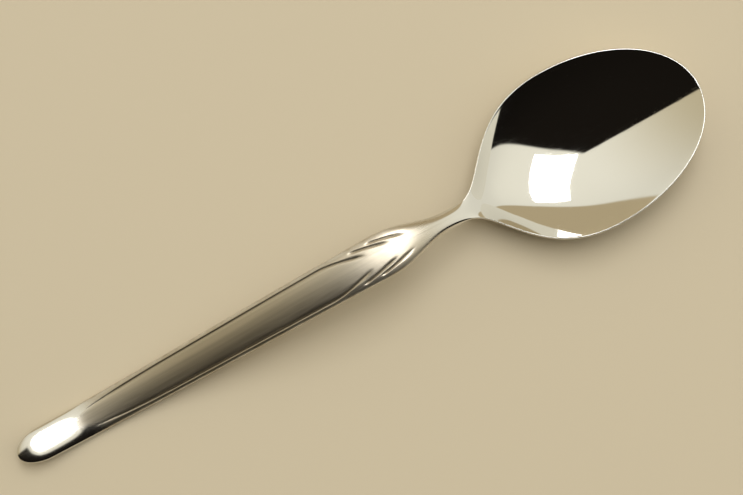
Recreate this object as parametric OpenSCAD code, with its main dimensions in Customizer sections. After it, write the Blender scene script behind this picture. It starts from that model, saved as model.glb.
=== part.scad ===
// Dessert spoon struck from one blank of stainless steel.
// The blank is drawn as the zones that are shaped and finished apart. Each zone is a loft of sections
// square to the spoon's length, and neighbouring zones share the section at the plane where they meet.

/* [Whole spoon] */
// Length from the end of the handle to the tip of the bowl
spoon_length = 180; // [150:1:220]

/* [Bowl] */
// Greatest width over the rim
bowl_width = 40; // [32:0.5:48]
// From the widest line of the bowl forward to its tip
bowl_front = 30.6; // [26:0.2:36]
// From the widest line of the bowl back to the point of its heel
bowl_back = 28.6; // [26:0.2:34]
// Depth of the hollow below the rim
bowl_depth = 8; // [6:0.1:11]
// How far the deepest line of the hollow lies behind the widest line
deep_shift = 4; // [0:0.2:6]
// How full the sides of the hollow are: 0 is a plain parabola
bowl_fullness = 0.1; // [0:0.05:0.5]
// Thickness of the rounded rim
rim_thick = 1.1; // [0.8:0.05:1.6]
// Width of the rounded rim seen from above
rim_width = 0.4; // [0.3:0.05:0.8]
// Metal added to the rim's thickness in the middle of the bowl
floor_extra = 0.4; // [0.2:0.05:1]
// Metal added once more at the heel
heel_extra = 0.9; // [0.3:0.05:1.5]
// Tilt of the rim when the spoon lies on a table, tip upwards, in degrees
rim_tilt = 3.5; // [0:0.5:5]

/* [Neck] */
// Least width of the neck
neck_width = 4.4; // [3.4:0.1:6]
// Thickness of the neck where it is narrowest
neck_thick = 3.6; // [2.8:0.1:4.5]
// From the narrowest line of the neck forward to the point of the heel
neck_lead = 5; // [3:0.2:7]
// Reach of the hollow curve that leads the neck's sides into the bowl
heel_fillet = 10.8; // [8:0.2:14]
// Length over which the rounded neck turns into the hollow of the bowl
heel_run = 18; // [14:0.5:20]

/* [Shoulder] */
// Greatest width of the handle, at the shoulder
shoulder_width = 10.4; // [8.5:0.1:13]
// Thickness of the shoulder
shoulder_thick = 2.9; // [2.4:0.1:3.6]
// From the shoulder forward to the narrowest line of the neck
shoulder_run = 20.3; // [17:0.1:25]
// From the start of the first leaf line forward to the shoulder
leaf_lead = 13.5; // [10:0.5:20]
// Length of one leaf line
leaf_length = 17; // [13:0.5:20]
// How far a leaf line sweeps in towards the middle
leaf_sweep = 2.85; // [2:0.05:3]
// From the first leaf line forward to the second
leaf_step = 6.6; // [5:0.2:8]
// Each further step is this share of the one before
leaf_ratio = 0.68; // [0.5:0.02:0.9]
// Leaf lines on each side
leaf_count = 3; // [1:1:4]

/* [Handle] */
// Width that the handle's sides point at, at its end
end_width = 7.8; // [6:0.1:9]
// Thickness of the handle's end
end_thick = 2.5; // [1.8:0.1:3.2]
// Length of the rounded end seen from above
nose_length = 7; // [5:0.5:10]
// Length over which the end is rounded off in height
nose_round = 5; // [2.5:0.25:6.5]
// Length of the polished terminal
terminal_length = 14; // [11:0.5:20]
// Width of the border outside the handle's groove
border_width = 1.05; // [0.9:0.05:1.5]
// Extra border width that the groove would reach at the handle's end
border_flare = 3; // [2:0.1:3.4]
// Length over which the border narrows
flare_length = 40; // [30:1:50]

/* [Grooves] */
// Depth of the groove and of the leaf lines
groove_depth = 0.32; // [0.1:0.02:0.45]
// Width of a groove's inner wall, on the side of the panel
groove_inner = 0.75; // [0.5:0.05:1]
// Width of a groove's outer wall
groove_outer = 0.42; // [0.3:0.02:0.6]
// Width of a leaf line's outer wall where the line ends
leaf_outer = 1.1; // [0.6:0.05:1.4]

/* [Side view] */
// Rise of the handle from where it rests to the shoulder
arch_rise = 13.6; // [8:0.2:18]
// From the end of the handle to the line on which it rests
rest_from_end = 18; // [8:0.5:24]
// Upward tilt of the handle's end behind that line, in degrees
end_tilt = 10; // [0:0.5:14]
// Length over which the handle bends up to that tilt
end_bend = 2.5; // [1:0.25:5]
// Distance past the heel's point at which the edge has settled to the rim
rim_settle = 12; // [9:0.5:16]

/* [Hidden] */

// Stations along the length, measured from the end of the handle
wide_at = spoon_length - bowl_front;
deep_at = wide_at - deep_shift;
heel_at = wide_at - bowl_back;
neck_at = heel_at - neck_lead;
shoulder_at = neck_at - shoulder_run;
leaf_at = shoulder_at - leaf_lead;
turn_at = neck_at - neck_lead;
rim_at = heel_at + rim_settle;

// Shares of a leaf line's length at which it starts, is full, begins to fade and ends
LEAF_FADE = [0.06, 0.2, 0.48, 0.72];
// Shares of the terminal's length over which the groove grows to its depth
GROOVE_FADE = [1.1, 2.2];
// Exponents of the rounded sections: flat on top at the end, fuller in the handle, oval in the neck
END_POWER = 2.7;
HANDLE_POWER = 2.2;
NECK_POWER = 2;
// Where the round edges of the two ends are cut off, as a share of the radius, to leave a tiny flat
END_TRIM = 0.9;
SIDE_TRIM = 0.995;
// Half-width of a section's top, as a share of its half-width: in the stem, and at least at the tip
STEM_TOP = 0.92;
TIP_TOP = 0.4;
// Place of the mesh line that follows the first groove: its share past that groove's end, and its limits
LINE_SHARE = 0.6;
LINE_LIMITS = [0.25, 0.86];

// Reach of the soft end of the hollow at the heel, as a share of the depth
HEEL_REACH = 1;
// The wall has its full extra metal where the hollow is at least this share of its depth
WALL_FULL_AT = 0.5;

// Steps across a half section: panel, border and edge
PANEL_STEPS = 6;
BORDER_STEPS = 7;
EDGE_STEPS = 3;
// Steps along each zone
BACK_STEPS = 20;
FRONT_STEPS = 15;
NECK_STEPS = 9;
SHOULDER_STEPS = 36;
HANDLE_STEPS = 14;
NOSE_STEPS = 8;
TERMINAL_STEPS = 4;
// Step of the search for the lowest lines of the handle and the bowl
SEARCH_STEP = 0.25;

rim_radius = rim_thick / 2;
steel = [0.80, 0.79, 0.76];
satin = [0.66, 0.63, 0.57];

// Number helpers
function clamp(u) = min(max(u, 0), 1);
function rise(u) = u * u * u * (u * (6 * u - 15) + 10);
function ease(s, from, to) = rise(clamp((s - from) / (to - from)));
function mix(a, b, k) = a + (b - a) * k;
function root(u) = sqrt(max(u, 0));
function soft_max(a, b, reach) = max(a, b) + reach / 6 * pow(max(1 - abs(a - b) / reach, 0), 3);

// Half-width of the outline at station s
function nose(s) = s < nose_length ? root(1 - pow(SIDE_TRIM * (1 - s / nose_length), 2)) : 1;
function taper(s) = mix(end_width, shoulder_width, min(s / shoulder_at, 1)) / 2;
function stem_half(s) = mix(taper(s), neck_width / 2, ease(s, shoulder_at, neck_at)) * nose(s);
function heel_bend() = pow(bowl_back / bowl_front, 2) / 2;
function heel_half(s) =
    let (u = (wide_at - s) / bowl_back)
    bowl_width / 2 * (1 - heel_bend() * u * u - (1 - heel_bend()) * u * u * u);
function front_half(s) = bowl_width / 2 * root(1 - pow(SIDE_TRIM * (s - wide_at) / bowl_front, 2));
function half_width(s) = s < wide_at ? soft_max(stem_half(s), heel_half(s), heel_fillet) : front_half(s);

// Half-width of the hollow, inside the rim
function hollow_half(s) =
    s < wide_at
        ? half_width(s) - rim_width
        : (bowl_width / 2 - rim_width) * root(1 - pow((s - wide_at) / (bowl_front - rim_width), 2));
function top_half(s) =
    let (w = half_width(s))
    max(mix(STEM_TOP * w, hollow_half(s), ease(s, neck_at, rim_at)), TIP_TOP * w);

// Share of the full depth along the middle, for a hollow that ends at station tip
function floor_share(s, tip) =
    let (ahead = tip - deep_at)
    let (behind = deep_at - heel_at)
    let (bend = pow(behind / ahead, 2))
    let (u = (deep_at - s) / behind)
    s > deep_at
        ? max(1 - pow((s - deep_at) / ahead, 2), 0)
        : soft_max(1 - bend * u * u - (1 - bend) * u * u * u, 0, HEEL_REACH * ease(u, 0, 1));
function full(q) = q * (1 + bowl_fullness * (1 - q));

// Half-thickness of the stem, and of the rim where it closes round the tip
function end_cap(s) = s < nose_round ? root(1 - pow(END_TRIM * (1 - s / nose_round), 2)) : 1;
function tip_cap(s) =
    let (past = (s - spoon_length + rim_width) / rim_width)
    past > 0 ? root(1 - pow(END_TRIM * past, 2)) : 1;
function stem_thick(s) =
    mix(mix(end_thick, shoulder_thick, min(s / shoulder_at, 1)), neck_thick, ease(s, shoulder_at, neck_at));
function stem_power(s) =
    mix(mix(END_POWER, HANDLE_POWER, ease(s, 0, flare_length)), NECK_POWER, ease(s, leaf_at, neck_at));
function wall_extra(s) = floor_extra + heel_extra * (1 - ease(s, heel_at, deep_at));
function bowl_share(s) = ease(s, turn_at, turn_at + heel_run);

// Height of the edge: the handle's upturned end and arch, which runs into the tilted rim
function arch(s) =
    let (back = rest_from_end - s)
    let (u = min(-back / (shoulder_at - rest_from_end), 1))
    back > 0
        ? tan(end_tilt) * (back - end_bend * (1 - exp(-back / end_bend)))
        : arch_rise * u * u * (3 - 2 * u);
function rim_slope(s) = tan(rim_tilt) * (s - deep_at);
function bowl_drop(s) = rim_radius + bowl_depth * full(floor_share(s, spoon_length)) + wall_extra(s);
handle_low = max([for (s = [nose_round:SEARCH_STEP:leaf_at]) stem_thick(s) / 2 - arch(s)]);
bowl_low = max([for (s = [rim_at:SEARCH_STEP:wide_at]) bowl_drop(s) - rim_slope(s)]);
function edge_height(s) =
    mix(handle_low + arch(s), bowl_low + rim_slope(s), ease(s, shoulder_at, rim_at));

// Grooves: the first line runs along the handle and ends as the first leaf, the others are leaves alone
function leaf_start(i) = leaf_at + (i == 0 ? 0 : leaf_step * (1 - pow(leaf_ratio, i)) / (1 - leaf_ratio));
function leaf_place(s, i) = (s - leaf_start(i)) / leaf_length;
function border(s) = border_width + border_flare * pow(max(1 - s / flare_length, 0), 2);
function line_at(s, i) =
    let (from = taper(min(s, leaf_start(i))) - border(s))
    let (u = clamp(leaf_place(s, i)))
    from - leaf_sweep * u * u * (3 - 2 * u);
function line_depth(s, i) =
    let (u = leaf_place(s, i))
    let (grow = i == 0
        ? ease(s, GROOVE_FADE[0] * terminal_length, GROOVE_FADE[1] * terminal_length)
        : ease(u, LEAF_FADE[0], LEAF_FADE[1]))
    groove_depth * grow * (1 - ease(u, LEAF_FADE[2], LEAF_FADE[3]));
function line_wall(s, i, out) =
    out ? mix(groove_outer, leaf_outer, ease(leaf_place(s, i), LEAF_FADE[1], LEAF_FADE[3])) : groove_inner;
function groove(s, y, i) =
    let (d = abs(y) - line_at(s, i))
    line_depth(s, i) * pow(max(1 - abs(d) / line_wall(s, i, d > 0), 0), 2);
function relief(s, y) = max([for (i = [0:leaf_count - 1]) groove(s, y, i)]);

// Heights above and below the edge at a point y of section s
function oval(s, y) =
    let (p = stem_power(s))
    stem_thick(s) / 2 * end_cap(s) * pow(max(1 - pow(abs(y) / half_width(s), p), 0), 1 / p);
function rim_edge(s, y) =
    let (t = s < wide_at ? top_half(s) : hollow_half(s))
    let (out = max(abs(y) - t, 0) / (half_width(s) - t))
    rim_radius * tip_cap(s) * root(1 - out * out);
function hollow(s, y) =
    let (inside = max(1 - pow(y / top_half(s), 2), 0))
    bowl_depth * full(floor_share(s, spoon_length - rim_width) * inside);
function belly(s, y) =
    let (inside = max(1 - pow(y / half_width(s), 2), 0))
    let (share = floor_share(s, spoon_length))
    bowl_depth * full(share * inside) + wall_extra(s) * min(share / WALL_FULL_AT, 1) * inside;
function top(s, y) =
    edge_height(s) + mix(oval(s, y), rim_edge(s, y) - hollow(s, y), bowl_share(s)) - relief(s, y);
function under(s, y) =
    edge_height(s) - mix(oval(s, y), rim_edge(s, y) + belly(s, y), bowl_share(s));

// One section: over the top from left to right, then back underneath through the same places
function mesh_line(s) =
    let (t = top_half(s))
    let (y = mix(line_at(s, 0), LINE_SHARE * t, ease(s, leaf_at, shoulder_at)))
    min(max(y, LINE_LIMITS[0] * t), LINE_LIMITS[1] * t);
function panel_y(s) = [for (i = [0:PANEL_STEPS]) mesh_line(s) * sin(90 * i / PANEL_STEPS)];
function border_y(s) = [for (i = [1:BORDER_STEPS]) mix(mesh_line(s), top_half(s), i / BORDER_STEPS)];
function edge_y(s) = [for (i = [1:EDGE_STEPS]) mix(top_half(s), half_width(s), sin(90 * i / EDGE_STEPS))];
function right_y(s) = concat(panel_y(s), border_y(s), edge_y(s));
function section(s) =
    let (right = right_y(s))
    let (last = len(right) - 1)
    let (left = [for (i = [last:-1:1]) -right[i]])
    let (across = concat(left, right))
    concat(
        [for (y = across) [y, top(s, y)]],
        [for (i = [2 * last - 1:-1:1]) [across[i], under(s, across[i])]]
    );

// Closed solid through the sections at the given stations
module loft(stations) {
    rings = [for (s = stations) [for (p = section(s)) [s - spoon_length / 2, p[0], p[1]]]];
    around = len(rings[0]);
    half = around / 2;
    last = len(stations) - 1;
    sides = [
        for (i = [0:last - 1], j = [0:around - 1])
            let (a = i * around + j)
            let (b = i * around + (j + 1) % around)
            let (on_left = abs(j - half + 0.5) > half / 2)
            each on_left
                ? [[a, b, b + around], [a, b + around, a + around]]
                : [[a, b, a + around], [b, b + around, a + around]]
    ];
    // A flat end is a strip between the top and the underside
    strip = [
        for (i = [0:half - 1])
            each concat(
                i < half - 1 ? [[i, i + 1, around - i - 1]] : [],
                i > 0 ? [[i, around - i - 1, around - i]] : []
            )
    ];
    start = [for (f = strip) [f[2], f[1], f[0]]];
    end = [for (f = strip) [for (v = f) v + last * around]];
    polyhedron(points = [for (r = rings) each r], faces = concat(start, sides, end));
}

function steps(from, to, count) = [for (i = [0:count]) mix(from, to, i / count)];

// Hollow, rim and heel
module bowl() {
    back = steps(heel_at, wide_at, BACK_STEPS);
    front = [for (i = [1:FRONT_STEPS]) wide_at + bowl_front * sin(90 * i / FRONT_STEPS)];
    color(steel) loft(concat(back, front));
}

// Round stem behind the heel
module neck() {
    color(steel) loft(steps(turn_at, heel_at, NECK_STEPS));
}

// Widest part of the handle, with the leaf lines
module shoulder() {
    color(satin) loft(steps(leaf_at, turn_at, SHOULDER_STEPS));
}

// Crowned panel between the two grooved borders
module handle() {
    color(satin) loft(steps(terminal_length, leaf_at, HANDLE_STEPS));
}

// Rounded end
module terminal() {
    nose = [for (i = [0:NOSE_STEPS - 1]) nose_length * (1 - cos(90 * i / NOSE_STEPS))];
    color(steel) loft(concat(nose, steps(nose_length, terminal_length, TERMINAL_STEPS)));
}

bowl();
neck();
shoulder();
handle();
terminal();
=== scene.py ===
"""Looks of a dessert spoon struck from one blank of stainless steel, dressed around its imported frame.

Lengths are millimetres while a surface is worked out, and metres in every mesh, light and camera.
A place along the spoon is a station: its distance from the end of the handle.
"""

import logging
import math
from dataclasses import dataclass, field
from enum import Enum

import bpy
import numpy as np
from mathutils import Matrix, Vector


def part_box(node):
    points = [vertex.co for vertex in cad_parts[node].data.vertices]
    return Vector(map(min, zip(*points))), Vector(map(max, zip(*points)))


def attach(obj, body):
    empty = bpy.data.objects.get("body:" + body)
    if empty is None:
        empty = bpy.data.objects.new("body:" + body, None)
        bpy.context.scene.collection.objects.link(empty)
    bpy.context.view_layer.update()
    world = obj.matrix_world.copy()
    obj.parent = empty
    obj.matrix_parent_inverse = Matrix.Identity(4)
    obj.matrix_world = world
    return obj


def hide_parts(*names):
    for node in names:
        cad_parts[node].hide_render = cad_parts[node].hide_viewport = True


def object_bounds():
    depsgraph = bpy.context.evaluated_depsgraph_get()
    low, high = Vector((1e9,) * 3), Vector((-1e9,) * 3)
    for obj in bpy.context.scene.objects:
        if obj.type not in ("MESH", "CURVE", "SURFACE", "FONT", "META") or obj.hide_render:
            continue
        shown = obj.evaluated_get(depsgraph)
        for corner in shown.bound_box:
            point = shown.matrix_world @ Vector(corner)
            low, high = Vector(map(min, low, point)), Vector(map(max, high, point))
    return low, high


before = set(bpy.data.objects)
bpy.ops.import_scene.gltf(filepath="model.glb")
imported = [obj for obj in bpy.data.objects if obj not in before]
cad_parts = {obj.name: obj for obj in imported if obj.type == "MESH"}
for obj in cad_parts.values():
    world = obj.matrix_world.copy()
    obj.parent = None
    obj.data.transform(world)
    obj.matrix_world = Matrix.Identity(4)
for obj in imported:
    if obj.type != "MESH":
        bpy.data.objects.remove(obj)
CAD_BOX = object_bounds()

MM = 0.001
ROOT_BODY = "root"
LOG = logging.getLogger("spoon")

# The photographed view: angle of the spoon's length above the picture's right, in degrees
SPOON_ANGLE = 28.76
IMAGE_SIZE = (743, 495)

# Least length that is divided by, and how near a station counts as the spoon's very end, in millimetres
TINY = 1e-9
POLE_REACH = 1e-6


class Slot(Enum):
    """Material slots of the record that the pieces take their finish from."""

    MIRROR = "mirror_steel"
    SATIN = "satin_steel"


class Mask(Enum):
    """Values stored on each point of the skin for the materials to read."""

    SATIN = "satin"
    GROOVE = "groove"
    CREST = "crest"


# Number helpers


def rise(share: np.ndarray) -> np.ndarray:
    """Returns a smooth step of a share from 0 to 1, level at both ends."""
    u = np.clip(share, 0, 1)
    return u * u * u * (u * (6 * u - 15) + 10)


def glide(share: np.ndarray) -> np.ndarray:
    """Returns a smooth step of a share from 0 to 1 by a plain cubic, which is less steep in the middle."""
    u = np.clip(share, 0, 1)
    return u * u * (3 - 2 * u)


def ease(place: np.ndarray, start: float, end: float) -> np.ndarray:
    """Returns a smooth step from 0 at start to 1 at end."""
    return rise((place - start) / (end - start))


def mix(first: np.ndarray, second: np.ndarray, share: np.ndarray) -> np.ndarray:
    """Returns the value that lies the given share of the way from first to second."""
    return first + (second - first) * share


def root(value: np.ndarray) -> np.ndarray:
    """Returns the square root, or 0 below 0."""
    return np.sqrt(np.maximum(value, 0))


def round_off(share: np.ndarray) -> np.ndarray:
    """Returns the height of a quarter circle at a share of its radius."""
    return root(1 - share * share)


def soft_max(first: np.ndarray, second: np.ndarray, reach: np.ndarray) -> np.ndarray:
    """Returns the larger of two values, with a fillet where they differ by less than reach."""
    width = np.maximum(reach, TINY)
    return np.maximum(first, second) + width / 6 * np.maximum(1 - abs(first - second) / width, 0) ** 3


# The zones of the blank


@dataclass
class Zone:
    """One zone of the blank: a closed piece between two planes square to the spoon's length.

    Attributes:
        node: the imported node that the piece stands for.
        slot: the record's material slot.
        steps: steps from station to station along the zone.
    """

    node: str
    slot: Slot
    steps: int

    def __post_init__(self) -> None:
        """Reads the zone's two planes, as stations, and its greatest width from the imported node."""
        low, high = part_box(self.node)
        self.start: float = (low.x - CAD_BOX[0].x) / MM
        self.end: float = (high.x - CAD_BOX[0].x) / MM
        self.full_width: float = (high.y - low.y) / MM

    def stations(self) -> np.ndarray:
        """Returns evenly spaced stations from plane to plane."""
        return np.linspace(self.start, self.end, self.steps + 1)

    def build(self, skin: "Skin") -> bpy.types.Object:
        """Makes the zone's closed mesh.

        Args:
            skin: the surface of the whole blank.

        Returns:
            The new object, standing for its node and riding on the root body.
        """
        piece = skin.piece(self.node, self.stations())
        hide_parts(self.node)
        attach(piece, ROOT_BODY)
        return piece

    def dress(self, piece: bpy.types.Object, materials: dict[Slot, bpy.types.Material]) -> None:
        """Gives the piece the material of its slot.

        Args:
            piece: the object made by build.
            materials: the material of each slot.
        """
        piece.data.materials.append(materials[self.slot])


@dataclass
class Terminal(Zone):
    """Rounded polished end of the handle.

    Attributes:
        width: width that the handle's sides point at, at its end.
        thick: thickness of the end.
        nose_length: length of the rounded end seen from above.
        nose_round: length over which the end is rounded off in height.
        power: exponent of the rounded section at the end; a higher one is flatter on top.
        even_steps: steps of even length between the rounded end and the handle.
    """

    node: str = "terminal"
    slot: Slot = Slot.MIRROR
    steps: int = 33
    width: float = 7.8
    thick: float = 2.5
    nose_length: float = 7.0
    nose_round: float = 5.0
    power: float = 2.7
    even_steps: int = 9

    def stations(self) -> np.ndarray:
        """Works out stations that crowd towards the very end.

        Returns:
            The stations, from the end of the spoon to the zone's other plane.
        """
        bend = np.linspace(0, math.pi / 2, self.steps - self.even_steps + 1)
        nose = self.nose_length * (1 - np.cos(bend[:-1]))
        return np.concatenate([nose, np.linspace(self.nose_length, self.end, self.even_steps + 1)])

    def nose(self, s: np.ndarray) -> np.ndarray:
        """Returns the share of the handle's width that is left in the rounded end."""
        return round_off(np.clip(1 - s / self.nose_length, 0, 1))

    def cap(self, s: np.ndarray) -> np.ndarray:
        """Returns the share of the thickness that is left in the rounded end."""
        return round_off(np.clip(1 - s / self.nose_round, 0, 1))


@dataclass
class Handle(Zone):
    """Crowned panel between two grooved borders.

    Attributes:
        power: exponent of the handle's rounded section.
        border_width: width of the border outside the groove.
        border_flare: extra border width that the groove would reach at the handle's end.
        flare_length: length over which the border narrows.
        groove_depth: depth of the groove and of the leaf lines.
        groove_inner: width of a groove's inner wall, on the side of the panel.
        groove_outer: width of a groove's outer wall.
        groove_from: station where the groove starts.
        groove_full: station where the groove has its full depth.
        arch_rise: rise of the handle from where it rests to the shoulder.
        rest_from_end: station of the line on which the handle rests.
        end_tilt: upward tilt of the end behind that line, in degrees.
        end_bend: length over which the handle bends up to that tilt.
    """

    node: str = "handle"
    slot: Slot = Slot.SATIN
    steps: int = 56
    power: float = 2.2
    border_width: float = 1.05
    border_flare: float = 3.0
    flare_length: float = 40.0
    groove_depth: float = 0.32
    groove_inner: float = 0.75
    groove_outer: float = 0.42
    groove_from: float = 15.4
    groove_full: float = 30.8
    arch_rise: float = 13.6
    rest_from_end: float = 18.0
    end_tilt: float = 10.0
    end_bend: float = 2.5

    def border(self, s: np.ndarray) -> np.ndarray:
        """Returns the width of the border, which flares towards the handle's end."""
        return self.border_width + self.border_flare * np.maximum(1 - s / self.flare_length, 0) ** 2


@dataclass
class Shoulder(Zone):
    """Widest part of the handle, where leaf lines sweep in from both sides.

    Attributes:
        thick: thickness of the shoulder.
        leaf_lead: from the start of the first leaf line forward to the widest line.
        leaf_length: length of one leaf line.
        leaf_sweep: how far a leaf line sweeps in towards the middle.
        leaf_step: from the first leaf line forward to the second.
        leaf_ratio: each further step is this share of the one before.
        leaf_count: leaf lines on each side.
        leaf_outer: width of a leaf line's outer wall where the line ends.
        leaf_fade: shares of a leaf line's length where it starts, is at its full depth, fades and is gone.
    """

    node: str = "shoulder"
    slot: Slot = Slot.SATIN
    steps: int = 150
    thick: float = 2.9
    leaf_lead: float = 13.5
    leaf_length: float = 17.0
    leaf_sweep: float = 2.85
    leaf_step: float = 6.6
    leaf_ratio: float = 0.68
    leaf_count: int = 3
    leaf_outer: float = 1.1
    leaf_fade: tuple[float, float, float, float] = (0.06, 0.2, 0.48, 0.72)

    @property
    def crest(self) -> float:
        """Station of the widest line."""
        return self.start + self.leaf_lead

    def leaf_start(self, leaf: int) -> float:
        """Returns the station where a leaf line begins; each step is shorter than the last."""
        strides = sum(self.leaf_ratio ** i for i in range(leaf))
        return self.start + self.leaf_step * strides

    def leaf_place(self, s: np.ndarray, leaf: int) -> np.ndarray:
        """Returns the share of a leaf line's length at a station."""
        return (s - self.leaf_start(leaf)) / self.leaf_length


@dataclass
class Neck(Zone):
    """Slim round stem behind the heel of the bowl.

    Attributes:
        width: least width.
        thick: thickness where the neck is narrowest.
        power: exponent of the neck's rounded section.
        lead: from the narrowest line forward to the point of the heel.
        heel_fillet: reach of the hollow curve that leads the neck's sides into the bowl.
        heel_run: length over which the rounded neck turns into the hollow of the bowl.
    """

    node: str = "neck"
    slot: Slot = Slot.MIRROR
    steps: int = 36
    width: float = 4.4
    thick: float = 3.6
    power: float = 2.0
    lead: float = 5.0
    heel_fillet: float = 10.8
    heel_run: float = 18.0

    @property
    def narrow(self) -> float:
        """Station of the narrowest line."""
        return self.end - self.lead


@dataclass
class Bowl(Zone):
    """Hollow, rim and heel.

    Attributes:
        front: from the widest line forward to the tip.
        depth: depth of the hollow below the rim.
        deep_shift: how far the deepest line lies behind the widest line.
        fullness: how full the sides of the hollow are; 0 is a plain parabola.
        rim_thick: thickness of the rounded rim.
        rim_width: width of the rounded rim seen from above.
        floor_extra: metal added to the rim's thickness in the middle of the bowl.
        heel_extra: metal added once more at the heel.
        rim_tilt: tilt of the rim, tip upwards, in degrees.
        rim_settle: distance past the heel's point at which the edge has settled to the rim.
        heel_reach: reach of the fillet where the floor runs out at the heel, as a share of the depth.
        wall_full_at: share of the depth at which the wall has all its added metal.
    """

    node: str = "bowl"
    slot: Slot = Slot.MIRROR
    steps: int = 120
    front: float = 30.6
    depth: float = 8.0
    deep_shift: float = 4.0
    fullness: float = 0.1
    rim_thick: float = 1.1
    rim_width: float = 0.4
    floor_extra: float = 0.4
    heel_extra: float = 0.9
    rim_tilt: float = 3.5
    rim_settle: float = 12.0
    heel_reach: float = 1.0
    wall_full_at: float = 0.5

    @property
    def wide(self) -> float:
        """Station of the widest line."""
        return self.end - self.front

    @property
    def deep(self) -> float:
        """Station of the deepest line."""
        return self.wide - self.deep_shift

    @property
    def back(self) -> float:
        """Length from the widest line back to the point of the heel."""
        return self.wide - self.start

    @property
    def rim_radius(self) -> float:
        """Half the thickness of the rounded rim."""
        return self.rim_thick / 2

    @property
    def settled(self) -> float:
        """Station at which the edge has settled to the rim."""
        return self.start + self.rim_settle

    def stations(self) -> np.ndarray:
        """Works out even stations behind the widest line, and ones that crowd towards the tip before it.

        Returns:
            The stations, from the zone's first plane to the tip.
        """
        half = self.steps // 2
        back = np.linspace(self.start, self.wide, half + 1)
        bend = np.linspace(0, math.pi / 2, half + 1)
        return np.concatenate([back, self.wide + self.front * np.sin(bend[1:])])

    def heel_half(self, s: np.ndarray) -> np.ndarray:
        """Works out the half-width behind the widest line, without the neck.

        Args:
            s: stations along the spoon.

        Returns:
            Half-widths, in millimetres.
        """
        bend = (self.back / self.front) ** 2 / 2
        u = (self.wide - s) / self.back
        return self.full_width / 2 * (1 - bend * u ** 2 - (1 - bend) * u ** 3)

    def front_half(self, s: np.ndarray) -> np.ndarray:
        """Returns the half-width before the widest line."""
        return self.full_width / 2 * round_off(np.clip((s - self.wide) / self.front, 0, 1))

    def hollow_front(self, s: np.ndarray) -> np.ndarray:
        """Returns the half-width of the hollow before the widest line."""
        reach = self.front - self.rim_width
        return (self.full_width / 2 - self.rim_width) * round_off(np.clip((s - self.wide) / reach, 0, 1))

    def floor_share(self, s: np.ndarray, tip: float) -> np.ndarray:
        """Works out the share of the depth that is reached along the middle.

        Args:
            s: stations along the spoon.
            tip: station where the hollow ends.

        Returns:
            Shares from 0 at both ends to 1 at the deepest line.
        """
        ahead = tip - self.deep
        behind = self.deep - self.start
        bend = (behind / ahead) ** 2
        u = (self.deep - s) / behind
        rear = 1 - bend * u ** 2 - (1 - bend) * u ** 3
        soft_rear = soft_max(rear, np.zeros_like(rear), self.heel_reach * ease(u, 0, 1))
        return np.where(s > self.deep, np.maximum(1 - ((s - self.deep) / ahead) ** 2, 0), soft_rear)

    def full(self, share: np.ndarray) -> np.ndarray:
        """Returns a share of the depth with the sides of the hollow filled out."""
        return share * (1 + self.fullness * (1 - share))

    def wall_extra(self, s: np.ndarray) -> np.ndarray:
        """Returns the metal added to the rim's thickness along the middle."""
        return self.floor_extra + self.heel_extra * (1 - ease(s, self.start, self.deep))

    def tip_cap(self, s: np.ndarray) -> np.ndarray:
        """Returns the share of the rim's thickness that is left where it closes round the tip."""
        return round_off(np.clip((s - self.end + self.rim_width) / self.rim_width, 0, 1))

    def rim_slope(self, s: np.ndarray) -> np.ndarray:
        """Returns the height of the tilted rim over its height at the deepest line."""
        return math.tan(math.radians(self.rim_tilt)) * (s - self.deep)

    def drop(self, s: np.ndarray) -> np.ndarray:
        """Returns how far the belly reaches below the rim along the middle."""
        return self.rim_radius + self.depth * self.full(self.floor_share(s, self.end)) + self.wall_extra(s)


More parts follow.
